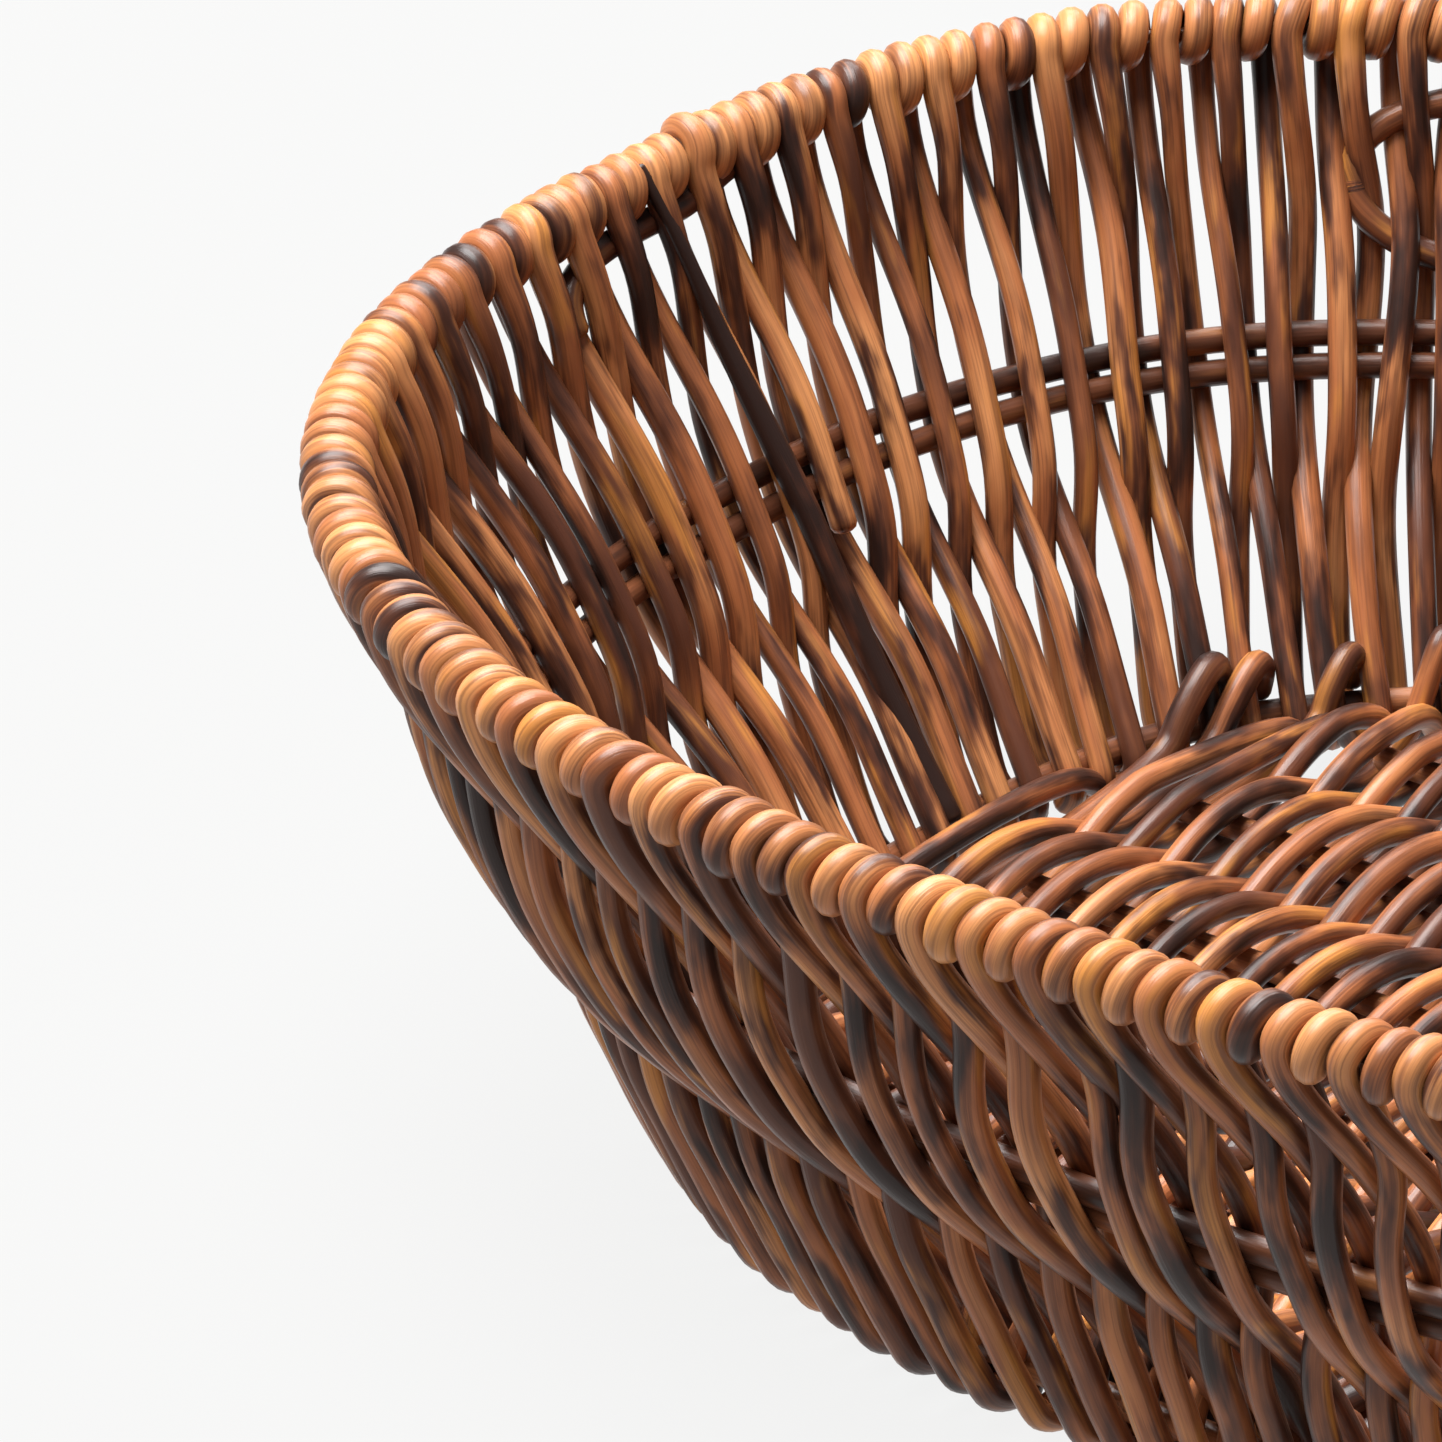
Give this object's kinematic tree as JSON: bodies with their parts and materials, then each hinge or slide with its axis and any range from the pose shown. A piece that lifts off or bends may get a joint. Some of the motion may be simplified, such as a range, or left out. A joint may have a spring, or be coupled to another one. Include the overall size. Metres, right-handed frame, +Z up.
{
  "type": "wicker basket",
  "caption": "Low open oval basket of stained round cane rods, woven over mid-height hoops and base ribs, with a tightly wrapped rim.",
  "frame": {"origin": "on the floor plane, under the middle of the basket", "axes": "+Z up through the open top, +X along the length, +Y along the width"},
  "size_m": [0.4148, 0.3354, 0.1071],
  "materials": {
    "cane": "satin",
    "cane_light": "satin",
    "cane_dark": "satin"
  },
  "bodies": {
    "root": {"rim_wrap_01": "cane_light", "rim_wrap_02": "cane_light", "rim_wrap_03": "cane_light", "rim_wrap_04": "cane_light", "rim_wrap_05": "cane_light", "rim_wrap_06": "cane_light", "rim_wrap_07": "cane_light", "rim_wrap_08": "cane_light", "rim_wrap_09": "cane_light", "rim_wrap_10": "cane_light", "rim_wrap_11": "cane_light", "rim_wrap_12": "cane_light", "rim_wrap_13": "cane_light", "rim_wrap_14": "cane_light", "rim_wrap_15": "cane_light", "rim_wrap_16": "cane_light", "rim_wrap_17": "cane_light", "rim_wrap_18": "cane_light", "rim_wrap_19": "cane_light", "rim_wrap_20": "cane_light", "wall_weave_01": "cane", "wall_weave_02": "cane", "wall_weave_03": "cane", "wall_weave_04": "cane", "wall_weave_05": "cane", "wall_weave_06": "cane", "wall_weave_07": "cane", "wall_weave_08": "cane", "wall_weave_09": "cane", "wall_weave_10": "cane", "wall_weave_11": "cane", "wall_weave_12": "cane", "wall_weave_13": "cane", "wall_weave_14": "cane", "wall_weave_15": "cane", "wall_weave_16": "cane", "wall_weave_17": "cane", "wall_weave_18": "cane", "wall_weave_19": "cane", "wall_weave_20": "cane", "base_weave_1": "cane", "base_weave_2": "cane", "base_weave_3": "cane", "base_weave_4": "cane", "base_weave_5": "cane", "base_rib_1": "cane_dark", "base_rib_2": "cane_dark", "base_rib_3": "cane_dark", "base_rib_4": "cane_dark", "base_rib_5": "cane_dark", "base_rib_6": "cane_dark", "base_rib_7": "cane_dark", "rim_core_hoop": "cane_dark", "mid_hoop_lower": "cane_dark", "mid_hoop_upper": "cane_dark", "foot_ring": "cane_dark", "grip_ring_back": "cane", "grip_ring_front": "cane"}
  },
  "joints": []
}
